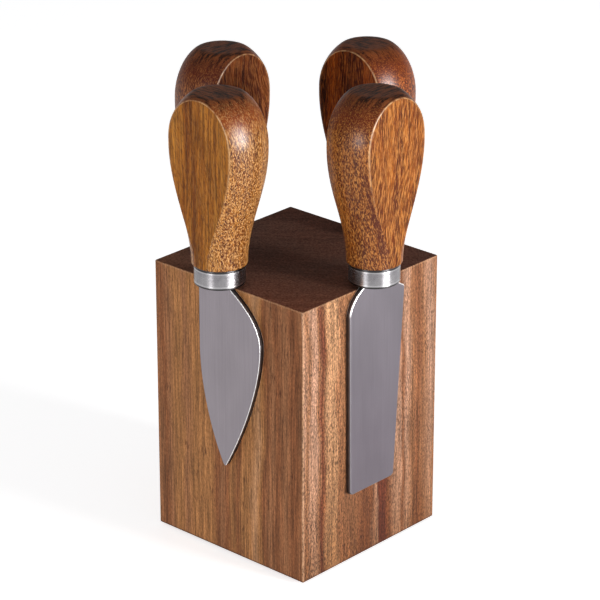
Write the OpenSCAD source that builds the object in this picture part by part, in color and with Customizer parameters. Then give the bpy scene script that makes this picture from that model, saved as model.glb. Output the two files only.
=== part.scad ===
// Magnetic wooden block that holds four cheese knives by their blades, one on each side face.
// Origin: middle of the underside. +Z up. -Y is the front face and +X the right face.

/* [Block] */
// Width and depth of the square block
block_w = 60; // [58:1:72]
// Height of the wooden block
block_h = 87.5; // [80:0.5:100]
// Radius of the eased upright edges
edge_r = 0.8; // [0.5:0.1:3]

/* [Base pad] */
// Thickness of the non-slip pad under the block
pad_t = 0.8; // [0.5:0.1:2]
// How far the pad stays inside the block's outline
pad_inset = 1.6; // [1:0.1:1.9]

/* [Magnets] */
// Diameter of each rod magnet
magnet_d = 10; // [8:0.5:11]
// Length of each rod magnet
magnet_l = 15; // [10:1:18]
// Wood left between a bore and the block's face
skin = 2; // [1.5:0.1:3]
// Height of the bore's closed end above the block's underside
bore_depth = 75; // [60:1:78]

/* [Knives] */
// Gap between the block's top and the lower end of the lowest ferrule
lift = 0.5; // [0.5:0.1:3]
// Thickness of the blades
blade_t = 1.8; // [1.2:0.1:2]
// Outer radius of the ferrules
ferrule_r = 7.65; // [7.2:0.05:8]
// Height of the ferrules
ferrule_h = 6; // [5:0.5:8]
// Length of the tang above the ferrule's lower end
tang_l = 36; // [24:1:44]

/* [Handles] */
// Radius of the handle just above the ferrule
neck_r = 8.3; // [8:0.05:8.6]
// Largest radius of the handle
bulb_r = 14.7; // [12:0.1:15]
// Height above the ferrule at which the handle reaches its largest radius
swell_h = 36.7; // [34:0.1:38]
// Height of the handle above the ferrule
handle_h = 52.3; // [50:0.1:53]
// Radius of the small flat on top of the handle
crown_r = 6.3; // [5:0.1:6.4]
// Distance of the two flats from the handle's axis
flat_d = 8.2; // [8:0.05:9]

/* [Hidden] */
FACES = ["front", "right", "left", "back"];
KNIVES = ["spade", "chisel", "fork", "pronged"];
PIECES = ["blade", "ferrule", "handle"];
LEVELS = ["lower", "upper"];

// Turn about Z that carries the front face to each face in FACES
FACE_TURN = [0, 90, 270, 180];
// Sideways place of each knife on its face, to the right as one looks at that face
KNIFE_SHIFT = [-2.1, -0.1, -0.9, -0.5];
// How much higher than the lowest knife each one hangs
KNIFE_RAISE = [0.6, 0.9, 0, 1];

wood_dark = "#8a5f3f";
wood_honey = "#b0713a";
steel = "#8d868c";
steel_bright = "#b9b9bc";
nickel = "#c8c8cc";
pad_black = "#2a2624";

block_z = pad_t;
face_y = -block_w / 2;
bore_r = magnet_d / 2 + 0.1;
bore_y = face_y + skin + bore_r;
magnet_chamfer = 0.4;
magnet_top = block_z + bore_depth - 0.5;
plug_l = magnet_top - 2 * magnet_l - block_z;

ferrule_wall = 1;
ferrule_floor = 1.2;
knife_z = block_z + block_h + lift;
knife_y = face_y - blade_t / 2;
spigot_r = ferrule_r - ferrule_wall - 0.05;
tang_w = 6;
slot_w = tang_w + 0.4;
slot_t = blade_t + 0.1;
neck_round = 0.6;
crown_h = 0.5;
dome_z = swell_h + 1.2;
dome_l = handle_h - crown_h - dome_z;
// Share of the dome's own half height that is left below the flat on top
dome_share = 0.8424;
dome_semi = dome_l / dome_share;

curve_steps = 14;
swell_steps = 22;
dome_steps = 14;
round_fn = 96;
overrun = 1;

// Point at t along the cubic curve with ends a and d and handles b and c
function bezier(a, b, c, d, t) =
    a * pow(1 - t, 3) + 3 * b * t * pow(1 - t, 2) + 3 * c * t * t * (1 - t) + d * pow(t, 3);

// Points along a cubic curve, without its first point
function curve(a, b, c, d, steps = curve_steps) =
    [for (i = [1 : steps]) bezier(a, b, c, d, i / steps)];

// Radius of the turned handle at height h above the ferrule
function swell(h) = neck_r + (bulb_r - neck_r) * (1 - cos(180 * min(h / swell_h, 1))) / 2;
function dome(h) = bulb_r * sqrt(1 - pow((h - dome_z) / dome_semi, 2));

// Blade outlines: [across, up], with the lower end of the ferrule at 0.
// Hard-cheese blade: straight back, full belly and a point
function spade_outline() = concat(
    [[-7.8, 0], [-7.8, -22]],
    curve([-7.8, -22], [-7.8, -34], [-4, -48], [1.3, -58]),
    curve([1.3, -58], [1.8, -59], [2.4, -59], [2.9, -58], 4),
    curve([2.9, -58], [10.5, -44.5], [16.7, -28], [16.7, -17]),
    curve([16.7, -17], [16.7, -8.8], [9.6, -4.1], [3.2, 0])
);

// Flat blade with one rounded and one short shoulder
function chisel_outline() = concat(
    [[-4.4, 0]],
    curve([-4.4, 0], [-8.4, -1.9], [-11.5, -4.9], [-11.5, -9]),
    [[-10.9, -64.8]],
    curve([-10.9, -64.8], [-10.9, -65.7], [-10.4, -66.3], [-9.5, -66.3], 4),
    [[7.3, -66.3]],
    curve([7.3, -66.3], [8.2, -66.3], [8.8, -65.7], [8.8, -64.8], 4),
    [[12.7, -7.4]],
    curve([12.7, -7.4], [12.8, -5.8], [12, -5.1], [11.2, -4.5], 4),
    [[4.6, 0]]
);

// One half of the two-tined fork, from the crotch round the outside to the shoulder
fork_half = concat(
    [[0, -34], [1.6, -34.6], [2.5, -36.4], [2.7, -39]],
    curve([2.7, -39], [2.7, -46], [3.6, -53], [5.6, -59.4], 8),
    curve([5.6, -59.4], [5.8, -60.1], [6.5, -60.1], [6.6, -59.4], 3),
    curve([6.6, -59.4], [7.6, -50], [8, -42], [8, -34], 8),
    curve([8, -34], [8, -20], [4.8, -14], [4.6, 0])
);
function fork_outline() = concat(
    fork_half,
    [for (i = [len(fork_half) - 1 : -1 : 1]) [-fork_half[i][0], fork_half[i][1]]]
);

// Slim cutting blade whose upturned tip ends in two prongs
function pronged_outline() = concat(
    [[-6, 0]],
    curve([-6, 0], [-7.2, -3], [-7.4, -6], [-7.4, -10], 5),
    [[-7.4, -40]],
    curve([-7.4, -40], [-7.4, -52], [-2, -60], [7.8, -64]),
    curve([7.8, -64], [8.6, -64.2], [8.9, -63.4], [8.3, -62.8], 3),
    curve([8.3, -62.8], [4.6, -60], [4.2, -56.6], [8.2, -55.4], 8),
    curve([8.2, -55.4], [9.1, -55.1], [9, -54.2], [8.1, -54], 3),
    curve([8.1, -54], [4.8, -53], [5.4, -48], [5.4, -44], 8),
    [[5.4, 0]]
);

// Carries a child from the front face to the face with this index
module on_face(i) {
    rotate([0, 0, FACE_TURN[i]]) children();
}

// Carries a child from a knife's own axes to its place on the block
module knife_place(i) {
    on_face(i) translate([KNIFE_SHIFT[i], knife_y, knife_z + KNIFE_RAISE[i]]) children();
}

// Square prism with round upright edges
module eased_prism(w, h, r) {
    translate([-w / 2 + r, -w / 2, 0]) cube([w - 2 * r, w, h]);
    translate([-w / 2, -w / 2 + r, 0]) cube([w, w - 2 * r, h]);
    for (x = [-1, 1], y = [-1, 1]) {
        translate([x * (w / 2 - r), y * (w / 2 - r), 0]) cylinder(h = h, r = r, $fn = round_fn);
    }
}

// Upright sheet cut to an outline in the plane across the knife
module sheet(points, t) {
    rotate([90, 0, 0]) linear_extrude(height = t, center = true) polygon(points);
}

module block_body() {
    color(wood_dark) difference() {
        translate([0, 0, block_z]) eased_prism(block_w, block_h, edge_r);
        for (i = [0 : 3]) {
            on_face(i) translate([0, bore_y, block_z - overrun])
                cylinder(h = bore_depth + overrun, r = bore_r, $fn = round_fn);
        }
    }
}

module base_pad() {
    color(pad_black) eased_prism(block_w - 2 * pad_inset, pad_t, edge_r);
}

// Rod magnet with chamfered ends; level 0 is the lower one in its bore
module magnet(i, level) {
    r = magnet_d / 2;
    c = magnet_chamfer;
    z = magnet_top - (2 - level) * magnet_l;
    color(nickel) on_face(i) translate([0, bore_y, z]) rotate_extrude($fn = round_fn)
        polygon([[0, 0], [r - c, 0], [r, c], [r, magnet_l - c], [r - c, magnet_l], [0, magnet_l]]);
}

module bore_plug(i) {
    color(wood_honey) on_face(i) translate([0, bore_y, block_z])
        cylinder(h = plug_l, r = magnet_d / 2, $fn = round_fn);
}

// Blade with its tang, which runs up inside the ferrule and the handle
module blade(i, points) {
    color(steel) knife_place(i) {
        sheet(points, blade_t);
        translate([-tang_w / 2, -blade_t / 2, -overrun]) cube([tang_w, blade_t, tang_l + overrun]);
    }
}

// Cup with a slot in its floor for the tang
module ferrule(i) {
    color(steel_bright) knife_place(i) difference() {
        cylinder(h = ferrule_h, r = ferrule_r, $fn = round_fn);
        translate([0, 0, ferrule_floor])
            cylinder(h = ferrule_h, r = ferrule_r - ferrule_wall, $fn = round_fn);
        translate([-slot_w / 2, -slot_t / 2, -overrun]) cube([slot_w, slot_t, ferrule_h]);
    }
}

// Turned handle with a spigot for the ferrule and a flat on the outer and the inner side
module handle(i) {
    profile = concat(
        [[0, ferrule_floor], [spigot_r, ferrule_floor], [spigot_r, ferrule_h]],
        [[neck_r - neck_round, ferrule_h], [neck_r - neck_round / 4, ferrule_h + neck_round / 3]],
        [for (s = [1 : swell_steps]) let (h = swell_h * s / swell_steps)
            [swell(h), ferrule_h + h]],
        [for (s = [0 : dome_steps]) let (h = dome_z + dome_l * sin(90 * s / dome_steps))
            [dome(h), ferrule_h + h]],
        [[crown_r, ferrule_h + handle_h], [0, ferrule_h + handle_h]]
    );
    slot_top = tang_l + overrun;
    color(wood_honey) knife_place(i) difference() {
        intersection() {
            rotate_extrude($fn = round_fn) polygon(profile);
            translate([-bulb_r - overrun, -flat_d, 0])
                cube([2 * (bulb_r + overrun), 2 * flat_d, ferrule_h + handle_h + overrun]);
        }
        translate([-slot_w / 2, -slot_t / 2, 0]) cube([slot_w, slot_t, slot_top]);
    }
}

module knife(i, name, points) {
    blade(i, points);
    ferrule(i);
    handle(i);
}

block_body();
base_pad();
for (i = [0 : 3]) {
    for (level = [0, 1]) {
        magnet(i, level);
    }
    bore_plug(i);
}
knife(0, KNIVES[0], spade_outline());
knife(1, KNIVES[1], chisel_outline());
knife(2, KNIVES[2], fork_outline());
knife(3, KNIVES[3], pronged_outline());
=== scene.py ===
import math

import bmesh
import bpy
from mathutils import Matrix, Vector


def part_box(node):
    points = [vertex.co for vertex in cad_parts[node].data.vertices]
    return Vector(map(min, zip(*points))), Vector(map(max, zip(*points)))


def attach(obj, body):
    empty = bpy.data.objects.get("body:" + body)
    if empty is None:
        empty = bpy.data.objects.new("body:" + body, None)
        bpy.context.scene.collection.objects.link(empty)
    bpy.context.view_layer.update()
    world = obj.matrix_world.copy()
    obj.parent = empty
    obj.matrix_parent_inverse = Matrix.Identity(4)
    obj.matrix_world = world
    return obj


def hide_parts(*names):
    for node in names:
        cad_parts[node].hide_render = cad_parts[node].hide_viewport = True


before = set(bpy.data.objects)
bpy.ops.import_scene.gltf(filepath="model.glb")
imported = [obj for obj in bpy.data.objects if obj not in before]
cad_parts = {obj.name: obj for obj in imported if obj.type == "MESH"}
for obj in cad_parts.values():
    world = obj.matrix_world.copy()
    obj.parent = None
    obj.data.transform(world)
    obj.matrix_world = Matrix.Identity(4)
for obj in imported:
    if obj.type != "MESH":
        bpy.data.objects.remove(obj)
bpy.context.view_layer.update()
MM = 0.001
UP = Vector((0, 0, 1))


def box(node):
    """Lowest and highest corner of a CAD node, and the size between them."""
    low, high = (Vector(corner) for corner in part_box(node))
    return low, high, high - low


BLOCK_LOW, BLOCK_HIGH, BLOCK_SIZE = box("block_body")


# ---------------------------------------------------------------- camera, lights and floor

VIEW_AZIMUTH = math.radians(42.4)
VIEW_ELEVATION = math.radians(22.92)
# The camera's place from the foot of the front upright edge, in block widths
CAMERA_RIGHT, CAMERA_BACK, CAMERA_UP = -0.015, 13.138, 7.081
LENS_MM, SENSOR_MM = 179.94, 36.0
# The softboxes face this point from a metre away
LIGHT_TARGET = Vector((0, 0, 0.09))
FLOOR_HALF = 4.0
# Brightness of the surround, from the horizon and below it (0) up to overhead (1)
SURROUND = [
    (0.0, (0.75, 0.75, 0.75, 1)),
    (0.12, (0.5, 0.5, 0.5, 1)),
    (0.3, (0.2, 0.2, 0.205, 1)),
    (1.0, (0.34, 0.34, 0.35, 1)),
]


def sideways(azimuth):
    """Level direction to the right of someone who looks at the object from an azimuth."""
    return Vector((math.cos(azimuth), math.sin(azimuth), 0))


def forwards(azimuth):
    """Level direction in which they look."""
    return Vector((-math.sin(azimuth), math.cos(azimuth), 0))


def add_camera():
    """The photograph's view."""
    data = bpy.data.cameras.new("camera")
    data.sensor_width = SENSOR_MM
    data.lens = LENS_MM
    data.clip_start = 0.01
    camera = bpy.data.objects.new("camera", data)
    bpy.context.scene.collection.objects.link(camera)
    foot = Vector((BLOCK_HIGH.x, BLOCK_LOW.y, BLOCK_LOW.z))
    shift = CAMERA_RIGHT * sideways(VIEW_AZIMUTH) - CAMERA_BACK * forwards(VIEW_AZIMUTH)
    camera.location = foot + BLOCK_SIZE.x * (shift + CAMERA_UP * UP)
    camera.rotation_euler = (math.pi / 2 - VIEW_ELEVATION, 0, VIEW_AZIMUTH)
    bpy.context.scene.camera = camera


def add_softbox(name, azimuth, elevation, width, height, power, gloss_only=False):
    """Rectangular light that faces the middle of the object."""
    data = bpy.data.lights.new(name, "AREA")
    data.shape = "RECTANGLE"
    data.size, data.size_y = width, height
    data.energy = power
    light = bpy.data.objects.new(name, data)
    light.visible_diffuse = not gloss_only
    bpy.context.scene.collection.objects.link(light)
    angle, rise = math.radians(azimuth), math.radians(elevation)
    towards = -forwards(angle) * math.cos(rise) + UP * math.sin(rise)
    light.location = LIGHT_TARGET + towards
    light.rotation_euler = (-towards).to_track_quat("-Z", "Y").to_euler()


def add_lights():
    """A small key and fill light the object; two wide boxes show only in its gloss."""
    add_softbox("key", 100, 8, width=0.2, height=0.3, power=9)
    add_softbox("fill", 5, 6, width=0.2, height=0.35, power=2.5)
    add_softbox("key_sheen", 92, 12, width=0.48, height=0.55, power=23, gloss_only=True)
    add_softbox("fill_sheen", 4, 6, width=0.45, height=0.35, power=3, gloss_only=True)


def fill_ramp(ramp, stops):
    """Puts (position, colour) pairs on a new colour ramp, which has two stops already."""
    elements = ramp.color_ramp.elements
    elements[0].position, elements[0].color = stops[0]
    elements[1].position, elements[1].color = stops[-1]
    for position, colour in stops[1:-1]:
        elements.new(position).color = colour


def add_world():
    """Studio surround: bright at the horizon, dim overhead."""
    world = bpy.data.worlds.new("studio")
    bpy.context.scene.world = world
    world.use_nodes = True
    tree = world.node_tree
    coords = tree.nodes.new("ShaderNodeTexCoord")
    split = tree.nodes.new("ShaderNodeSeparateXYZ")
    ramp = tree.nodes.new("ShaderNodeValToRGB")
    tree.links.new(coords.outputs["Generated"], split.inputs[0])
    tree.links.new(split.outputs["Z"], ramp.inputs["Fac"])
    tree.links.new(ramp.outputs["Color"], tree.nodes["Background"].inputs["Color"])
    fill_ramp(ramp, SURROUND)


def add_floor():
    """White paper, lit a little from itself so that it burns out as it does in the photo."""
    mesh = bpy.data.meshes.new("floor")
    corners = [(-1, -1), (1, -1), (1, 1), (-1, 1)]
    mesh.from_pydata([(x * FLOOR_HALF, y * FLOOR_HALF, 0) for x, y in corners], [], [(0, 1, 2, 3)])
    floor = bpy.data.objects.new("floor", mesh)
    bpy.context.scene.collection.objects.link(floor)
    paper = Shader("paper")
    paper.set("Base Color", (0.8, 0.8, 0.8, 1))
    paper.set("Roughness", 0.9)
    paper.set("Specular IOR Level", 0.1)
    paper.set("Emission Color", (1, 1, 1, 1))
    paper.set("Emission Strength", 0.7)
    mesh.materials.append(paper.material)


# ---------------------------------------------------------------- shader helper


def srgb(red, green, blue):
    """Linear colour from 0-255 display values."""
    def linear(value):
        value /= 255
        return value / 12.92 if value <= 0.04045 else ((value + 0.055) / 1.055) ** 2.4
    return (linear(red), linear(green), linear(blue), 1.0)


class Shader:
    """A material with short calls for the nodes it is built from."""

    def __init__(self, name):
        self.material = bpy.data.materials.new(name)
        self.material.use_nodes = True
        self.tree = self.material.node_tree
        self.surface = self.tree.nodes["Principled BSDF"]
        self.coords = None

    def feed(self, socket, value):
        """Links another node's output to a socket, or sets the socket's own value."""
        if isinstance(value, bpy.types.NodeSocket):
            self.tree.links.new(value, socket)
        else:
            socket.default_value = value

    def set(self, name, value):
        """Feeds a socket of the surface."""
        self.feed(self.surface.inputs[name], value)

    def node(self, kind, inputs, **settings):
        """New node with its inputs fed."""
        made = self.tree.nodes.new(kind)
        for key, value in settings.items():
            setattr(made, key, value)
        for key, value in inputs.items():
            self.feed(made.inputs[key], value)
        return made

    def local(self, vector, origin, turn, scale=1.0):
        """Vector in axes that start at origin and are turned about Z by so many degrees."""
        back = Matrix.Rotation(-math.radians(turn), 3, "Z") @ Vector(origin)
        inputs = {
            "Vector": vector,
            "Location": tuple(-back * scale),
            "Rotation": (0, 0, -math.radians(turn)),
            "Scale": (scale, scale, scale),
        }
        return self.node("ShaderNodeMapping", inputs).outputs[0]

    def place(self, origin=(0, 0, 0), turn=0):
        """Position in millimetres, in the axes that the first call sets."""
        if self.coords is None:
            raw = self.node("ShaderNodeTexCoord", {}).outputs["Object"]
            self.coords = self.local(raw, origin, turn, 1 / MM)
        return self.coords

    def facing(self, turn):
        """Surface normal, in axes turned about Z."""
        raw = self.node("ShaderNodeTexCoord", {}).outputs["Normal"]
        return self.local(raw, (0, 0, 0), turn)

    def axis(self, which, vector=None):
        """One coordinate of a vector, or of the position."""
        return self.node("ShaderNodeSeparateXYZ", {0: vector or self.place()}).outputs[which]

    def along(self, distance):
        """Vector that points along X."""
        return self.node("ShaderNodeCombineXYZ", {0: distance}).outputs[0]

    def stretched(self, x, y, z, vector=None, offset=(0, 0, 0)):
        """Position scaled by a factor along each axis: the larger the factor, the finer the noise."""
        inputs = {"Vector": vector or self.place(), "Location": offset, "Scale": (x, y, z)}
        return self.node("ShaderNodeMapping", inputs).outputs[0]

    def tilted(self, vector, degrees):
        """Position turned about the local Y axis, for grain that leans."""
        inputs = {"Vector": vector, "Rotation": (0, math.radians(degrees), 0)}
        return self.node("ShaderNodeMapping", inputs).outputs[0]

    def noise(self, vector, detail=4.0, roughness=0.55, distortion=0.0):
        """Fractal noise, mostly between 0.3 and 0.7."""
        inputs = {
            "Vector": vector,
            "Scale": 1.0,
            "Detail": detail,
            "Roughness": roughness,
            "Distortion": distortion,
        }
        return self.node("ShaderNodeTexNoise", inputs).outputs["Fac"]

    def cells(self, fineness):
        """Distance from the middle of the nearest cell, with so many cells to the millimetre."""
        inputs = {"Vector": self.stretched(fineness, fineness, fineness), "Scale": 1.0}
        return self.node("ShaderNodeTexVoronoi", inputs).outputs["Distance"]

    def math(self, operation, a, b=0.0):
        return self.node("ShaderNodeMath", {0: a, 1: b}, operation=operation).outputs[0]

    def plus(self, value, *others):
        for other in others:
            value = self.math("ADD", value, other)
        return value

    def times(self, value, *others):
        for other in others:
            value = self.math("MULTIPLY", value, other)
        return value

    def minus(self, a, b):
        return self.math("SUBTRACT", a, b)

    def larger(self, a, b):
        return self.math("MAXIMUM", a, b)

    def size_of(self, value):
        return self.math("ABSOLUTE", value)

    def span(self, value, low, high, to_low=0.0, to_high=1.0):
        """Value moved from one range to another, clamped; it falls where low is above high."""
        inputs = {
            "Value": value,
            "From Min": low,
            "From Max": high,
            "To Min": to_low,
            "To Max": to_high,
        }
        return self.node("ShaderNodeMapRange", inputs).outputs[0]

    def mix(self, amount, a, b, blend="MIX"):
        """Colour a where amount is 0, and b, or a blended with b, where it is 1."""
        made = self.node("ShaderNodeMix", {}, data_type="RGBA", blend_type=blend)
        self.feed(made.inputs["Factor"], amount)
        self.feed(made.inputs[6], a)
        self.feed(made.inputs[7], b)
        return made.outputs[2]

    def stain(self, colour, tint, *shares):
        """Colour mixed with a tint, by the product of the shares."""
        return self.mix(self.times(*shares), colour, tint)

    def ramp(self, value, stops):
        """Colour ramp from (position, colour) pairs."""
        made = self.node("ShaderNodeValToRGB", {"Fac": value})
        fill_ramp(made, stops)
        return made.outputs[0]

    def shade(self, colour, amount, low, high):
        """Colour multiplied by a grey that runs from low to high with amount."""
        grey = self.span(amount, 0, 1, low, high)
        tint = self.node("ShaderNodeCombineColor", {0: grey, 1: grey, 2: grey}).outputs[0]
        return self.mix(1.0, colour, tint, "MULTIPLY")

    def bump(self, height, distance):
        """Normal of a relief that is so many millimetres deep."""
        return self.node("ShaderNodeBump", {"Height": height, "Distance": distance * MM}).outputs[0]


# ---------------------------------------------------------------- block and pad materials

WOOD = {
    "rust": (101, 50, 30),
    "umber": (123, 75, 45),
    "brown": (139, 93, 61),
    "tan": (153, 104, 62),
    "honey": (166, 122, 86),
    "rose": (166, 125, 100),
}
# Bands of the block's side grain, by millimetres to the left of the front upright edge
LEFT_BANDS = [
    (-60, "brown"), (-57, "umber"), (-55, "brown"), (-52, "tan"), (-50, "tan"), (-48, "brown"),
    (-45, "tan"), (-38, "tan"), (-35, "umber"), (-33, "brown"), (-31, "umber"), (-29, "tan"),
    (-26, "umber"), (-24, "tan"), (-21, "tan"), (-18.5, "honey"), (-16.5, "tan"), (-15, "umber"),
    (-12, "brown"), (-10, "umber"), (-7, "brown"), (-4, "umber"), (-2, "umber"), (0, "brown"),
]
# The same to the right of that edge
RIGHT_BANDS = [
    (0, "rose"), (2, "brown"), (4, "rose"), (6, "rose"), (7.5, "brown"), (8.5, "rust"),
    (9.5, "umber"), (11, "honey"), (12.5, "honey"), (15, "honey"), (16, "brown"), (22, "brown"),
    (26, "umber"), (29, "umber"), (32, "rose"), (33, "rust"), (36, "rust"), (38, "umber"),
    (41, "rose"), (43, "rose"), (44.5, "umber"), (46, "rose"), (48.5, "brown"), (52, "umber"),
    (54, "brown"), (57, "rose"), (60, "brown"),
]


def across_grain(wood, x, y, z):
    """Millimetres across the side grain: below 0 left of the front edge, above 0 right of it."""
    drift = wood.noise(wood.stretched(0.02, 0.02, 0.02), 2.0)
    slow = wood.noise(wood.stretched(0.2, 0.2, 0.03), 3.0)
    lean = wood.span(z, 0, 88, -0.7, 0.9)
    drift = wood.span(drift, 0.3, 0.7, -1.2, 1.2)
    slow = wood.span(slow, 0.3, 0.7, -1.1, 1.1)
    return wood.plus(x, y, lean, drift, slow)


def side_bands(wood, across, on_right):
    """Broad bands of colour of the two front faces, which the two back faces repeat."""
    width = BLOCK_SIZE.x / MM
    left_stops = [(1 + place / width, srgb(*WOOD[tone])) for place, tone in LEFT_BANDS]
    right_stops = [(place / width, srgb(*WOOD[tone])) for place, tone in RIGHT_BANDS]
    left = wood.ramp(wood.span(across, -width, 0), left_stops)
    right = wood.ramp(wood.span(across, 0, width), right_stops)
    return wood.mix(on_right, left, right)


def paint_edge_light_and_foot_shade(wood, colour, x, y, z, flecks):
    """Painted highlight along the block's edges, pale in patches, and painted shade along its foot."""
    half, top, foot = BLOCK_SIZE.x / MM / 2, BLOCK_HIGH.z / MM, BLOCK_LOW.z / MM
    to_corner = wood.math("MINIMUM", wood.size_of(x), wood.size_of(y))
    upright = wood.span(to_corner, half - 0.6, half - 0.3)
    rim = wood.times(wood.span(z, top - 0.6, top - 0.3), 0.8)
    patchy = wood.span(flecks, 0.35, 0.6, 0.05, 0.55)
    # Painted highlight on the upright edges and along the top rim
    colour = wood.stain(colour, srgb(206, 160, 122), wood.larger(upright, rim), patchy)
    # Painted shade in a band along the foot, where the block meets the pad
    return wood.stain(colour, srgb(52, 26, 14), wood.span(z, foot + 0.9, foot + 0.2), 0.8)


def block_side_wood():
    """Oiled acacia with upright grain: broad bands, long fibres, short flecks and open pores."""
    wood = Shader("acacia_side")
    x, y, z = (wood.axis(name) for name in "XYZ")
    across = across_grain(wood, x, y, z)
    on_right = wood.span(across, -0.2, 0.2)
    fibres = wood.noise(wood.stretched(0.8, 0.8, 0.028), 5.0, 0.6)
    threads = wood.noise(wood.stretched(2.3, 2.3, 0.07), 4.0, 0.6)
    flecks = wood.noise(wood.stretched(2.6, 2.6, 1.0, offset=(7, 3, 1)), 3.0, 0.6, 0.5)
    pores = wood.noise(wood.stretched(3.0, 3.0, 0.24, offset=(21, 5, 9)), 1.0, 0.5)
    cloud = wood.noise(wood.stretched(0.09, 0.09, 0.03, offset=(3, 8, 5)), 2.0)
    patch = wood.noise(wood.stretched(0.12, 0.12, 0.05, offset=(13, 1, 7)), 2.0)
    colour = side_bands(wood, across, on_right)
    colour = wood.shade(colour, wood.span(fibres, 0.34, 0.66), 0.66, 1.3)
    colour = wood.shade(colour, wood.span(threads, 0.35, 0.65), 0.62, 1.34)
    colour = wood.shade(colour, wood.span(cloud, 0.3, 0.7), 0.9, 1.12)
    # The wood to the right of the front edge is cut so that its flecks show more, most near that edge
    near_edge = wood.span(across, 10, 22, 1.0, 0.55)
    flecked = wood.times(on_right, near_edge, wood.span(patch, 0.35, 0.6, 0.5, 1.0))
    spots = wood.times(wood.span(flecks, 0.36, 0.64, -0.5, 0.5), wood.plus(flecked, 0.42))
    colour = wood.shade(colour, wood.plus(spots, 0.5), 0.42, 1.62)
    pit = wood.times(wood.span(pores, 0.6, 0.68), wood.span(patch, 0.4, 0.62, 0.35, 1.0))
    colour = wood.stain(colour, srgb(60, 24, 10), pit, 0.8)
    # Painted shade: that side is darker and redder towards the foot, where less light reaches it
    foot_shade_tone = wood.mix(1.0, colour, (0.61, 0.53, 0.42, 1), "MULTIPLY")
    colour = wood.stain(colour, foot_shade_tone, wood.span(z, 52, 4), on_right)
    wood.set("Base Color", paint_edge_light_and_foot_shade(wood, colour, x, y, z, flecks))
    wood.set("Roughness", wood.span(threads, 0.3, 0.7, 0.5, 0.66))
    wood.set("Specular IOR Level", 0.1)
    wood.set("Normal", wood.bump(wood.minus(wood.times(threads, 0.5), pit), 0.06))
    return wood.material


def block_end_wood():
    """Dark oiled end grain: faint growth arcs, open pores."""
    wood = Shader("acacia_end")
    x, y = (wood.axis(name) for name in "XY")
    # The arcs are centred on the pith, which lay outside the block
    pith_x, pith_y = -70.0, 78.0
    dx, dy = wood.minus(x, pith_x), wood.minus(y, pith_y)
    radius = wood.math("SQRT", wood.plus(wood.times(dx, dx), wood.times(dy, dy)))
    wobble = wood.noise(wood.stretched(0.05, 0.05, 0.05), 3.0)
    radius = wood.plus(radius, wood.span(wobble, 0.3, 0.7, -2.5, 2.5))
    rings = wood.noise(wood.stretched(0.4, 0.4, 0.4, wood.along(radius)), 4.0, 0.7)
    cloud = wood.noise(wood.stretched(0.03, 0.03, 0.03, offset=(4, 9, 2)), 2.0)
    grit = wood.noise(wood.stretched(1.6, 1.6, 1.6), 3.0, 0.6)
    pit = wood.span(wood.cells(1.1), 0.16, 0.08)
    colour = wood.mix(wood.span(cloud, 0.35, 0.65), srgb(95, 70, 60), srgb(108, 73, 60))
    # Lighter towards the front and the left corner
    colour = wood.stain(colour, srgb(120, 76, 58), wood.span(wood.minus(x, y), 10, 56))
    colour = wood.stain(colour, srgb(126, 88, 68), wood.span(wood.plus(x, y), -34, -56))
    colour = wood.shade(colour, wood.span(rings, 0.36, 0.64), 0.8, 1.2)
    colour = wood.shade(colour, wood.span(grit, 0.34, 0.66), 0.62, 1.36)
    wood.set("Base Color", wood.stain(colour, srgb(34, 18, 12), pit, 0.6))
    wood.set("Roughness", wood.span(grit, 0.3, 0.7, 0.82, 0.95))
    wood.set("Specular IOR Level", 0.03)
    wood.set("Normal", wood.bump(wood.minus(wood.times(grit, 0.4), pit), 0.04))
    return wood.material


def foam_rubber():
    """Black foam with fine cells."""
    rubber = Shader("foam_rubber")
    cells = rubber.cells(2.5)
    rubber.set("Base Color", rubber.mix(rubber.span(cells, 0, 0.7), srgb(22, 20, 19), srgb(46, 43, 41)))
    rubber.set("Roughness", 0.85)
    rubber.set("Normal", rubber.bump(cells, 0.1))
    return rubber.material


def inner_finish(name, colour, metallic, roughness):
    """Finish for pieces that are sealed inside the block, with a little variation."""
    inner = Shader(name)
    cloud = inner.noise(inner.stretched(0.4, 0.4, 0.2), 4.0)
    inner.set("Base Color", inner.shade(colour, inner.span(cloud, 0.3, 0.7), 0.8, 1.15))
    inner.set("Metallic", metallic)
    inner.set("Roughness", inner.span(cloud, 0.3, 0.7, roughness - 0.05, roughness + 0.08))
    return inner.material


# ---------------------------------------------------------------- knife materials


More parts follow.
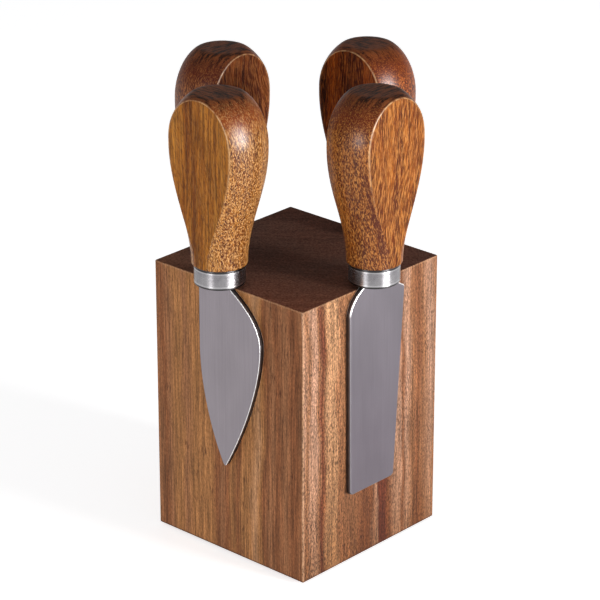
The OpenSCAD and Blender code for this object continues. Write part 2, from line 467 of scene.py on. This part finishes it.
class HandleWood(Shader):
    """Lacquered turned acacia: lines and figure on the flats, short slanting flecks on the round."""

    def __init__(self, knife):
        super().__init__(knife.kind + "_handle_wood")
        self.knife = knife
        self.place(knife.foot, knife.angle)
        self.side, self.height = self.size_of(self.axis("Y")), self.axis("Z")
        facing = self.facing(knife.angle)
        self.outward, self.up = self.size_of(self.axis("Y", facing)), self.axis("Z", facing)
        self.flat = self.span(self.outward, 0.9, 0.985)
        self.rounded = self.minus(1.0, self.flat)
        # Each handle is cut from another place in the same wood, and its grain wanders
        self.shift = Vector((17, 9, 5)) * knife.seed
        bend = self.noise(self.stretched(0.05, 0.05, 0.025, offset=self.shift), 1.0)
        swirl = self.along(self.span(bend, 0.3, 0.7, -knife.wave, knife.wave))
        made = self.node("ShaderNodeVectorMath", {0: self.place(), 1: swirl}, operation="ADD")
        self.warped = made.outputs[0]
        slanted = self.tilted(self.warped, 16)
        self.lines = self.grain((2.5, 2.5, 0.1), 3.0, 0.6)
        self.flecks = self.grain((3.1, 3.1, 0.95), 3.0, 0.6, 0.3, slanted)
        pores = self.stretched(2.7, 2.7, 0.5, slanted, self.shift + Vector((11, 0, 0)))
        self.pit = self.span(self.noise(pores, 1.0, 0.5), 0.56, 0.62)

    def grain(self, stretch, detail, roughness, distortion=0.0, vector=None):
        """Noise in this handle's own place in the wood."""
        spot = self.stretched(*stretch, vector or self.warped, self.shift)
        return self.noise(spot, detail, roughness, distortion)

    def lined(self):
        """Long streaks and lines, in the handle's own tones."""
        tones = self.knife.tones
        broad = self.grain((0.2, 0.2, 0.02), 3.0, 0.5)
        streaks = self.grain((0.9, 0.9, 0.04), 4.0, 0.6)
        tone = self.plus(self.times(broad, 0.5), self.times(streaks, 0.5))
        tone = self.plus(self.span(tone, 0.38, 0.62), self.times(self.rounded, 0.15))
        colour = self.ramp(tone, [(0.0, tones["dark"]), (0.5, tones["mid"]), (1.0, tones["pale"])])
        return self.shade(colour, self.span(self.lines, 0.34, 0.66), 0.44, 1.46)

    def flecked(self, colour):
        """Flecks on the round part, longer dashes on the flats, and pores on both."""
        tones = self.knife.tones
        share = self.times(self.rounded, 0.88)
        colour = self.stain(colour, tones["dark"], self.span(self.flecks, 0.45, 0.37), share)
        colour = self.stain(colour, tones["speck"], self.span(self.flecks, 0.48, 0.59), share)
        dashes = self.grain((3.2, 3.2, 0.3), 3.0, 0.6, 0.2, self.tilted(self.warped, -7))
        share = self.times(self.flat, self.knife.figure)
        colour = self.stain(colour, tones["dark"], self.span(dashes, 0.46, 0.36), share)
        colour = self.stain(colour, tones["speck"], self.span(dashes, 0.48, 0.6), share)
        colour = self.shade(colour, self.rounded, 1.0, 0.88)
        return self.stain(colour, srgb(70, 18, 5), self.pit, self.span(self.rounded, 0, 1, 0.4, 0.85))

    def soaked(self, colour):
        """End grain soaks up more oil: reddish on the shoulder, near black-brown on the crown."""
        patchy = self.span(self.flecks, 0.4, 0.6, 1.0, 0.35)
        colour = self.stain(colour, self.knife.tones["crown"], self.span(self.up, 0.22, 0.5), patchy)
        ripple = self.grain((0.25, 1.3, 0.25), 4.0, 0.65)
        end_grain = self.mix(self.span(ripple, 0.42, 0.56), srgb(28, 12, 6), srgb(122, 66, 34))
        patchy = self.span(self.flecks, 0.42, 0.62, 1.0, 0.8)
        return self.stain(colour, end_grain, self.span(self.up, 0.55, 0.85), patchy)

    def streaked(self, colour):
        """A dark red streak beside the outer flat, down to its lower tip."""
        edge = self.knife.flat_d / MM
        beside = self.times(
            self.span(self.side, edge - 1.9, edge - 1.2),
            self.span(self.side, edge - 0.1, edge - 0.6),
            self.span(self.axis("X"), -0.3, -1.2),
        )
        level = self.times(self.span(self.height, 42, 32), self.span(self.height, 9, 13))
        patchy = self.span(self.flecks, 0.62, 0.45, 0.6, 1.0)
        return self.stain(colour, srgb(76, 26, 6), beside, level, patchy, self.knife.streak)

    def paint_arris_light_and_seam_shade(self, colour):
        """Painted highlight along the arris round each flat, and painted shade in the seam at the
        ferrule.
        """
        edge, seam = self.knife.flat_d / MM, self.knife.ferrule_h / MM
        arris = self.times(
            self.span(self.side, edge - 0.35, edge - 0.12),
            self.span(self.outward, 0.985, 0.93),
            self.span(self.height, 24, 44),
        )
        highlight_patches = self.noise(self.stretched(0.5, 0.5, 0.3, offset=self.shift), 2.0)
        # Painted highlight along the arris, in patches
        colour = self.stain(colour, srgb(216, 168, 116), arris, self.span(highlight_patches, 0.36, 0.62, 0.1, 0.75))
        # Painted shade in the seam just above the ferrule
        return self.stain(colour, srgb(30, 12, 6), self.span(self.height, seam + 0.5, seam + 0.15), 0.9)

    def finish(self):
        """The whole handle, under a lacquer that is thinner on the flats and on the crown."""
        colour = self.flecked(self.lined())
        self.set("Base Color", self.paint_arris_light_and_seam_shade(self.streaked(self.soaked(colour))))
        self.set("Roughness", self.span(self.lines, 0.3, 0.7, 0.4, 0.55))
        self.set("Specular IOR Level", 0.03)
        coat = self.span(self.rounded, 0, 1, 0.16, 0.42)
        self.set("Coat Weight", self.times(coat, self.span(self.up, 0.55, 0.85, 1.0, 0.5)))
        self.set("Coat Roughness", 0.33)
        self.set("Normal", self.bump(self.minus(self.times(self.lines, 0.35), self.pit), 0.07))
        return self.material


def blade_steel(knife):
    """Satin stainless steel with faint upright brushing."""
    steel = Shader(knife.kind + "_blade_steel")
    steel.place(knife.foot)
    lines = steel.noise(steel.stretched(5.0, 5.0, 0.05), 3.0, 0.6)
    cloud = steel.noise(steel.stretched(0.07, 0.07, 0.04), 2.0)
    colour = steel.mix(steel.span(steel.axis("Z"), 0, -50), *knife.steel)
    colour = steel.shade(colour, steel.span(cloud, 0.35, 0.65), 0.95, 1.05)
    colour = steel.shade(colour, steel.span(lines, 0.3, 0.7), 0.94, 1.06)
    steel.set("Base Color", colour)
    steel.set("Metallic", 1.0)
    steel.set("Roughness", steel.span(lines, 0.3, 0.7, 0.14, 0.2))
    steel.set("Normal", steel.bump(lines, 0.004))
    return steel.material


def blade_rim(knife):
    """Rim of the blade: painted highlight where it faces up, bright ground steel on the sharpened side,
    and painted shade on the rest.
    """
    steel = Shader(knife.kind + "_rim_light_and_shade")
    steel.place(knife.foot, knife.angle)
    facing = steel.facing(knife.angle)
    nicks = steel.noise(steel.stretched(0.9, 0.9, 0.9), 3.0, 0.6)
    bright = steel.mix(steel.span(nicks, 0.3, 0.7), (0.72, 0.71, 0.72, 1), (0.98, 0.97, 0.96, 1))
    # Painted highlight where the rim faces up
    shoulder = steel.span(steel.axis("Z", facing), 0.04, 0.22)
    honed = steel.span(steel.times(steel.axis("X", facing), knife.sharp_side), 0.1, 0.3)
    # Painted shade wherever the rim neither faces up nor lies on the sharpened side
    colour = steel.mix(steel.larger(shoulder, honed), (0.16, 0.148, 0.16, 1), bright)
    steel.set("Base Color", colour)
    steel.set("Metallic", 1.0)
    steel.set("Roughness", steel.span(nicks, 0.3, 0.7, 0.38, 0.5))
    return steel.material


def blade_flank(knife):
    """Edge of the sheet, with painted shade that deepens towards the wood."""
    steel = Shader(knife.kind + "_flank")
    steel.place(knife.foot, knife.angle)
    depth = steel.span(steel.axis("Y"), -0.35, 0.5)
    blotches = steel.noise(steel.stretched(0.8, 0.8, 0.4), 3.0, 0.6)
    # Painted shade, darkest where the flank lies against the wood
    colour = steel.mix(depth, (0.15, 0.138, 0.142, 1), (0.02, 0.016, 0.014, 1))
    steel.set("Base Color", steel.shade(colour, steel.span(blotches, 0.3, 0.7), 0.8, 1.2))
    steel.set("Metallic", 1.0)
    steel.set("Roughness", steel.span(blotches, 0.3, 0.7, 0.35, 0.5))
    return steel.material


def ferrule_steel(knife):
    """Steel brushed round the collar, with a painted highlight just inside each rim and painted shade in
    the seams beside them.
    """
    steel = Shader(knife.kind + "_ferrule_steel")
    steel.place(knife.foot)
    height, top = steel.axis("Z"), knife.ferrule_h / MM
    lines = steel.noise(steel.stretched(0.12, 0.12, 7.0), 4.0, 0.7)
    smears = steel.noise(steel.stretched(0.4, 0.4, 0.25), 2.0)
    colour = steel.mix(steel.span(smears, 0.35, 0.65), (0.21, 0.2, 0.212, 1), (0.29, 0.28, 0.288, 1))
    colour = steel.shade(colour, steel.span(lines, 0.3, 0.7), 0.88, 1.12)
    # Painted highlight just inside the rims at the foot and at the top
    turned = steel.larger(steel.span(height, 1.35, 1.05), steel.span(height, top - 1.2, top - 0.95))
    colour = steel.stain(colour, (0.5, 0.49, 0.5, 1), turned, 0.6)
    # Painted shade in the seams at the foot and under the handle
    seam = steel.larger(steel.span(height, 0.9, 0.55), steel.span(height, top - 0.85, top - 0.6))
    colour = steel.stain(colour, (0.02, 0.018, 0.018, 1), seam, 0.92)
    steel.set("Base Color", colour)
    steel.set("Metallic", 1.0)
    steel.set("Roughness", steel.span(lines, 0.3, 0.7, 0.24, 0.32))
    steel.set("Anisotropic", 0.85)
    steel.set("Anisotropic Rotation", 0.25)
    tangent = steel.node("ShaderNodeTangent", {}, direction_type="RADIAL", axis="Z")
    steel.set("Tangent", tangent.outputs[0])
    steel.set("Normal", steel.bump(lines, 0.003))
    return steel.material


# ---------------------------------------------------------------- geometry helpers


def make_piece(name, verts, faces, materials, body, node):
    """New mesh piece that rides on a body and stands for a CAD node."""
    mesh = bpy.data.meshes.new(name)
    mesh.from_pydata([tuple(v) for v in verts], [], faces)
    for material in materials:
        mesh.materials.append(material)
    piece = bpy.data.objects.new(name, mesh)
    bpy.context.scene.collection.objects.link(piece)
    for face in mesh.polygons:
        face.use_smooth = True
    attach(piece, body)
    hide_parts(node)
    return piece


def apply_modifiers(piece):
    """Replaces the piece's mesh with the result of its modifiers."""
    shown = piece.evaluated_get(bpy.context.evaluated_depsgraph_get())
    done = bpy.data.meshes.new_from_object(shown)
    old = piece.data
    piece.modifiers.clear()
    piece.data = done
    bpy.data.meshes.remove(old)
    done.name = piece.name


def flatten_shading(piece):
    """Keeps large faces flat in the shading, beside small rounded ones."""
    normals = piece.modifiers.new("normals", "WEIGHTED_NORMAL")
    normals.keep_sharp = True
    normals.weight = 90
    apply_modifiers(piece)


def bezier(a, b, c, d, steps):
    """Points along a cubic curve, without its first point."""
    points = []
    for i in range(1, steps + 1):
        t = i / steps
        weights = ((1 - t) ** 3, 3 * t * (1 - t) ** 2, 3 * t * t * (1 - t), t ** 3)
        points.append(tuple(sum(w * p[k] for w, p in zip(weights, (a, b, c, d))) for k in (0, 1)))
    return points


def closed_skin(rings, lowest, highest):
    """Verts and faces of a skin over rings of points, drawn together to a point at each end."""
    count = len(rings[0])
    verts = [point for ring in rings for point in ring] + [lowest, highest]
    faces = []
    for row in range(len(rings) - 1):
        near, far = row * count, (row + 1) * count
        for i in range(count):
            j = (i + 1) % count
            faces.append((near + i, near + j, far + j, far + i))
    bottom, top = len(rings) * count, len(rings) * count + 1
    last = (len(rings) - 1) * count
    for i in range(count):
        j = (i + 1) % count
        faces.append((j, i, bottom))
        faces.append((last + i, last + j, top))
    return verts, faces


# ---------------------------------------------------------------- block and pad


def rounded_box(node, corner, corner_steps, rims, rim_steps):
    """bmesh of a CAD node's box with its upright edges rounded, then its rims at (level, width)."""
    low, high, size = box(node)
    bm = bmesh.new()
    bmesh.ops.create_cube(bm, size=1.0)
    centre = (low + high) / 2
    for vert in bm.verts:
        vert.co = Vector(c * s for c, s in zip(vert.co, size)) + centre
    upright = [e for e in bm.edges if abs(e.verts[0].co.z - e.verts[1].co.z) > size.z / 2]
    bmesh.ops.bevel(bm, geom=upright, offset=corner, segments=corner_steps, affect="EDGES", profile=0.5)
    for level, width in rims:
        at_level = [e for e in bm.edges if all(abs(v.co.z - level) < MM / 10 for v in e.verts)]
        sharp = [e for e in at_level if e.calc_face_angle(0) > 1]
        bmesh.ops.bevel(bm, geom=sharp, offset=width, segments=rim_steps, affect="EDGES", profile=0.5)
    bm.verts.index_update()
    return bm


def take_mesh(bm):
    """Verts, faces, and whether each face looks mostly up or down; the bmesh is freed."""
    verts = [v.co.copy() for v in bm.verts]
    faces = [[v.index for v in f.verts] for f in bm.faces]
    level = [abs(f.normal.z) > 0.75 for f in bm.faces]
    bm.free()
    return verts, faces, level


def build_block():
    """Block shell, with side grain all round and end grain on top and underneath."""
    rims = [(BLOCK_LOW.z, 0.5 * MM), (BLOCK_HIGH.z, 0.35 * MM)]
    verts, faces, level = take_mesh(rounded_box("block_body", 0.55 * MM, 3, rims, 3))
    materials = [block_side_wood(), block_end_wood()]
    piece = make_piece("block_shell", verts, faces, materials, "block", "block_body")
    for face, is_level in zip(piece.data.polygons, level):
        face.material_index = int(is_level)
    flatten_shading(piece)


def build_pad():
    """Thin foam pad with rounded corners under the block."""
    low, high, _ = box("base_pad")
    rims = [(low.z, 0.15 * MM), (high.z, 0.15 * MM)]
    verts, faces, _ = take_mesh(rounded_box("base_pad", 1.5 * MM, 6, rims, 2))
    piece = make_piece("foot_pad", verts, faces, [foam_rubber()], "block", "base_pad")
    flatten_shading(piece)


# ---------------------------------------------------------------- knives


class Knife:
    """One knife: its design, and its axes across the face, inwards, and up from the ferrule's foot."""

    def __init__(self, seed, kind, body, angle, outline, sharp_side, wave, figure, streak, steel, tones):
        self.seed, self.kind, self.body, self.angle = seed, kind, body, angle
        self.outline, self.sharp_side, self.steel = outline, sharp_side, steel
        self.wave, self.figure, self.streak = wave, figure, streak
        self.tones = {name: srgb(*tone) for name, tone in zip(TONE_NAMES, tones)}
        self.turn = Matrix.Rotation(math.radians(angle), 3, "Z")
        low, high, size = box(kind + "_ferrule")
        self.foot = Vector(((low.x + high.x) / 2, (low.y + high.y) / 2, low.z))
        self.ferrule_r, self.ferrule_h = size.x / 2, size.z
        _, high, size = box(kind + "_handle")
        self.bulb_r = max(size.x, size.y) / 2
        self.flat_d = min(size.x, size.y) / 2
        self.handle_top = high.z - self.foot.z
        _, high, size = box(kind + "_blade")
        self.blade_t = min(size.x, size.y)
        self.tang_top = high.z - self.foot.z

    def world(self, across, inwards, up):
        """Place in the scene of a point in the knife's own axes."""
        return self.foot + self.turn @ Vector((across, inwards, up))


def soft_min(a, b, blend):
    """Smaller of two lengths, rounded where they meet."""
    mix = max(0.0, min(1.0, 0.5 + 0.5 * (b - a) / blend))
    return b * (1 - mix) + a * mix - blend * mix * (1 - mix)


def handle_profile(knife):
    """(height, radius) of the turned handle, from its lower end to the crown."""
    neck, bulb = 8.3 * MM, knife.bulb_r
    foot, top = knife.ferrule_h, knife.handle_top
    foot_round, crown = 0.55 * MM, 0.9 * MM
    swell = 36.7 * MM
    dome_start, dome_half = swell + 1.2 * MM, 16.5 * MM
    points = []
    steps = 6
    for i in range(steps):
        angle = math.pi / 2 * i / steps
        rise, inset = foot_round * (1 - math.cos(angle)), foot_round * (1 - math.sin(angle))
        points.append((foot + rise, neck - inset))
    steps = 110
    for i in range(steps + 1):
        rise = foot_round + (swell - foot_round) * i / steps
        points.append((foot + rise, neck + (bulb - neck) * (1 - math.cos(math.pi * rise / swell)) / 2))
    dome_end = top - foot - crown - dome_start
    steps = 64
    for i in range(1, steps + 1):
        rise = dome_end * math.sin(math.pi / 2 * i / steps) ** 0.9
        points.append((foot + dome_start + rise, bulb * math.sqrt(1 - (rise / dome_half) ** 2)))
    # The dome runs on for most of the crown's height, then turns in to its flat top
    last_h, last_r = points[-1]
    slope = (points[-1][1] - points[-2][1]) / (points[-1][0] - points[-2][0])
    turn_in = (last_h + 0.75 * crown, last_r + slope * 0.75 * crown)
    inner = (top, turn_in[1] - 0.6 * MM), (top, turn_in[1] - 2.2 * MM)
    points += bezier((last_h, last_r), turn_in, *inner, 10)
    for share in (0.66, 0.33):
        points.append((top, points[-1][1] * share))
    return points


def handle_ring(knife, height, radius, blend):
    """Points round the handle at one height, cut by a flat on its outer and its inner side."""
    per_quarter = 44
    widest_split = math.radians(58)
    split = min(math.asin(min(1.0, knife.flat_d / radius)), widest_split)
    points = []
    for quarter in range(4):
        for i in range(per_quarter):
            share = 1 - i / per_quarter if quarter % 2 else i / per_quarter
            # Half of the points lie on the round, before the split, and half on the flat
            half = 2 * share
            angle = split * half if half <= 1 else split + (math.pi / 2 - split) * (half - 1)
            reach = soft_min(radius, knife.flat_d / max(math.sin(angle), 1e-6), blend)
            x = reach * math.cos(angle) * (1 if quarter in (0, 3) else -1)
            y = reach * math.sin(angle) * (1 if quarter < 2 else -1)
            points.append(knife.world(x, y, height))
    return points


def build_handle(knife):
    """Turned handle with two ground flats, whose arris is softer towards the crown."""
    sharp_blend, soft_blend, fade = 0.12 * MM, 0.4 * MM, 30 * MM
    profile = handle_profile(knife)
    rings = []
    for height, radius in profile:
        share_up = max(0.0, min(1.0, (height - knife.ferrule_h) / fade))
        blend = sharp_blend + (soft_blend - sharp_blend) * share_up
        rings.append(handle_ring(knife, height, radius, blend))
    lowest, highest = (knife.world(0, 0, profile[end][0]) for end in (0, -1))
    verts, faces = closed_skin(rings, lowest, highest)
    material = HandleWood(knife).finish()
    name, node = knife.kind + "_grip", knife.kind + "_handle"
    make_piece(name, verts, faces, [material], knife.body, node)


def ferrule_profile(knife):
    """(radius, height) of the collar, from the rim of its foot to the edge of the cup's floor."""
    outer, height = knife.ferrule_r, knife.ferrule_h
    wall, rim, lip, cup = 0.9 * MM, 0.45 * MM, 0.2 * MM, 2 * MM
    points = []
    for i in range(7):
        angle = math.pi / 2 * i / 6
        points.append((outer - rim * (1 - math.sin(angle)), rim * (1 - math.cos(angle))))
    points.append((outer, height / 2))
    for i in range(5):
        angle = math.pi / 2 * i / 4
        points.append((outer - lip * (1 - math.cos(angle)), height - lip * (1 - math.sin(angle))))
    return points + [(outer - wall, height), (outer - wall, height - cup)]


def build_ferrule(knife):
    """Collar with rounded rims and a closed lower end."""
    count = 128
    profile = ferrule_profile(knife)
    rings = []
    for radius, height in profile:
        angles = [2 * math.pi * i / count for i in range(count)]
        rings.append([knife.world(radius * math.cos(a), radius * math.sin(a), height) for a in angles])
    lowest, highest = (knife.world(0, 0, profile[end][1]) for end in (0, -1))
    verts, faces = closed_skin(rings, lowest, highest)
    name, node = knife.kind + "_collar", knife.kind + "_ferrule"
    piece = make_piece(name, verts, faces, [ferrule_steel(knife)], knife.body, node)
    flatten_shading(piece)


# Outlines of the blades in millimetres across and up, from the left of the tang round to its right


def spade_outline():
    """Straight back, full belly and a point."""
    return (
        [(-7.8, 0), (-7.8, -11), (-7.8, -22)]
        + bezier((-7.8, -22), (-7.8, -34), (-4, -48), (1.3, -58), 36)
        + bezier((1.3, -58), (1.8, -59), (2.4, -59), (2.9, -58), 8)
        + bezier((2.9, -58), (10.5, -44.5), (16.7, -28), (16.7, -17), 44)
        + bezier((16.7, -17), (16.7, -8.8), (9.6, -4.1), (3.2, 0), 36)
    )


def chisel_outline():
    """Flat blade with one rounded and one short shoulder."""
    return (
        [(-4.4, 0)]
        + bezier((-4.4, 0), (-8.4, -1.9), (-11.5, -4.9), (-11.5, -9), 24)
        + [(-11.3, -30), (-10.9, -64.8)]
        + bezier((-10.9, -64.8), (-10.9, -65.7), (-10.4, -66.3), (-9.5, -66.3), 6)
        + [(7.3, -66.3)]
        + bezier((7.3, -66.3), (8.2, -66.3), (8.8, -65.7), (8.8, -64.8), 6)
        + [(12.75, -6)]
        + bezier((12.75, -6), (12.8, -5.2), (12.4, -4.9), (11.7, -4.6), 6)
        + [(4.6, 0)]
    )


def fork_outline():
    """Two tines, the left one mirrored from the right."""
    right = (
        [(0, -34), (1.6, -34.6), (2.5, -36.4), (2.7, -39)]
        + bezier((2.7, -39), (2.7, -46), (3.6, -53), (5.6, -59.4), 16)
        + bezier((5.6, -59.4), (5.8, -60.1), (6.5, -60.1), (6.6, -59.4), 5)
        + bezier((6.6, -59.4), (7.6, -50), (8, -42), (8, -34), 16)
        + bezier((8, -34), (8, -20), (4.8, -14), (4.6, 0), 24)
    )
    left = [(-x, y) for x, y in reversed(right)]
    return left + right[1:]


def pronged_outline():
    """Slim cutting blade whose upturned tip ends in two prongs."""
    return (
        [(-6, 0)]
        + bezier((-6, 0), (-7.2, -3), (-7.4, -6), (-7.4, -10), 10)
        + [(-7.4, -40)]
        + bezier((-7.4, -40), (-7.4, -52), (-2, -60), (7.8, -64), 24)
        + bezier((7.8, -64), (8.6, -64.2), (8.9, -63.4), (8.3, -62.8), 5)
        + bezier((8.3, -62.8), (4.6, -60), (4.2, -56.6), (8.2, -55.4), 14)
        + bezier((8.2, -55.4), (9.1, -55.1), (9, -54.2), (8.1, -54), 5)
        + bezier((8.1, -54), (4.8, -53), (5.4, -48), (5.4, -44), 14)
        + [(5.4, 0)]
    )


def build_blade(knife):
    """Sheet blade with rounded rims and a tang that runs up into the handle."""
    # The tang's foot is a hair above the blade's corners, so that no two points coincide
    tang_half, tang_foot, tang_top = 3.0, 0.02, knife.tang_top / MM
    right = [(tang_half, tang_foot), (tang_half, tang_top)]
    tang = right + [(-x, z) for x, z in reversed(right)]
    verts = [knife.world(x * MM, -knife.blade_t / 2, z * MM) for x, z in knife.outline() + tang]
    sheet = [tuple(range(len(verts)))]
    materials = [blade_steel(knife), blade_rim(knife), blade_flank(knife)]
    rim_slot, flank_slot = 1, 2
    name, node = knife.kind + "_steel", knife.kind + "_blade"
    piece = make_piece(name, verts, sheet, materials, knife.body, node)
    solid = piece.modifiers.new("solid", "SOLIDIFY")
    solid.thickness = knife.blade_t
    inward = knife.turn @ Vector((0, 1, 0))
    solid.offset = -1.0 if piece.data.polygons[0].normal.dot(inward) < 0 else 1.0
    solid.material_offset_rim = flank_slot
    rim = piece.modifiers.new("rim", "BEVEL")
    rim.width = 0.38 * MM
    rim.segments = 3
    rim.limit_method = "ANGLE"
    rim.angle_limit = math.radians(50)
    rim.harden_normals = True
    rim.material = rim_slot
    apply_modifiers(piece)


PALE_STEEL = (0.25, 0.224, 0.243, 1)
GREY_STEEL = (0.218, 0.197, 0.219, 1)
BLUE_STEEL = (0.183, 0.16, 0.184, 1)
TONE_NAMES = ("speck", "pale", "mid", "dark", "crown")
# angle: turn about Z from the front face, in degrees. sharp_side: 1 to the right, -1 to the left.
# wave, figure and streak: how far the grain wanders in millimetres, how strong the dashes on the
# flats are, and the dark red streak beside the outer flat. steel: at the top of the blade and at its
# foot.
KNIVES = [
    dict(
        kind="spade", body="spade_knife", angle=0, outline=spade_outline, sharp_side=1,
        wave=0.6, figure=0.1, streak=0.0, steel=(PALE_STEEL, PALE_STEEL),
        tones=((212, 158, 99), (166, 106, 36), (138, 80, 18), (108, 54, 8), (128, 54, 10)),
    ),
    dict(
        kind="chisel", body="chisel_knife", angle=90, outline=chisel_outline, sharp_side=0,
        wave=1.6, figure=0.75, streak=0.9, steel=(GREY_STEEL, BLUE_STEEL),
        tones=((194, 128, 62), (147, 81, 20), (109, 50, 6), (76, 26, 4), (96, 32, 6)),
    ),
    dict(
        kind="fork", body="cheese_fork", angle=270, outline=fork_outline, sharp_side=0,
        wave=3.0, figure=0.5, streak=0.3, steel=(PALE_STEEL, GREY_STEEL),
        tones=((172, 106, 56), (134, 72, 28), (92, 40, 10), (48, 16, 4), (86, 29, 8)),
    ),
    dict(
        kind="pronged", body="pronged_knife", angle=180, outline=pronged_outline, sharp_side=-1,
        wave=2.0, figure=0.4, streak=0.3, steel=(PALE_STEEL, GREY_STEEL),
        tones=((206, 114, 44), (138, 60, 8), (86, 28, 0), (42, 6, 0), (100, 36, 4)),
    ),
]


# ---------------------------------------------------------------- build


def finish_inner_nodes():
    """Better materials on the CAD's own magnets and plugs."""
    nickel = inner_finish("nickel_plate", (0.62, 0.62, 0.62, 1), 1.0, 0.25)
    dowel = inner_finish("dowel_wood", srgb(176, 126, 78), 0.0, 0.7)
    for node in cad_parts:
        for prefix, material in (("magnet", nickel), ("bore_plug", dowel)):
            if node.startswith(prefix):
                data = bpy.data.objects[node].data
                data.materials.clear()
                data.materials.append(material)


bpy.context.scene.view_settings.view_transform = "Standard"
add_camera()
add_world()
add_lights()
add_floor()
build_block()
build_pad()
for seed, design in enumerate(KNIVES, 1):
    knife = Knife(seed, **design)
    build_handle(knife)
    build_ferrule(knife)
    build_blade(knife)
finish_inner_nodes()
